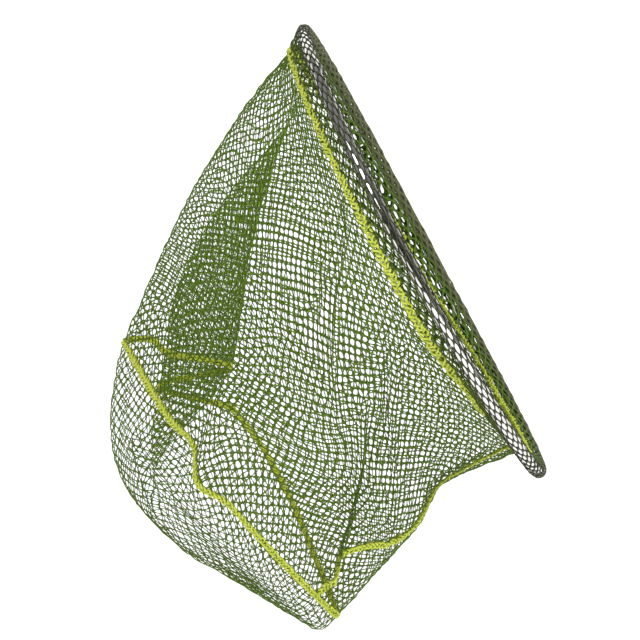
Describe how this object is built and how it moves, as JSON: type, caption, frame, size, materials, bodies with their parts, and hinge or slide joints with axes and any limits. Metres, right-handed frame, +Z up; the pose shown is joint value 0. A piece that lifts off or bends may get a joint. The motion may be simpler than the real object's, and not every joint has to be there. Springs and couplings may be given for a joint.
{
  "type": "landing net bag on a round hoop",
  "caption": "Slack knotless-mesh landing net bag with bright seams, sleeved on a round tube hoop and hanging from the top of the hoop.",
  "frame": {"origin": "the top of the hoop in its sleeve, where the net hangs", "axes": "+Z up, +Y away from the near side across the hoop's width, +X towards the side that the mouth faces"},
  "size_m": [0.4389, 0.5121, 0.6067],
  "materials": {
    "rod": "bright drawn aluminium",
    "olive_twine": "dark olive coated twine",
    "green_twine": "green coated twine with a soft sheen",
    "yellow_yarn": "bright yellow-green yarn"
  },
  "bodies": {
    "root": {"hoop_rod": "rod", "rim_sleeve": "olive_twine", "seam_ring_1": "yellow_yarn", "net_wall": "green_twine", "seam_side": "yellow_yarn", "seam_ring_2": "yellow_yarn", "net_bottom": "green_twine"}
  },
  "joints": []
}
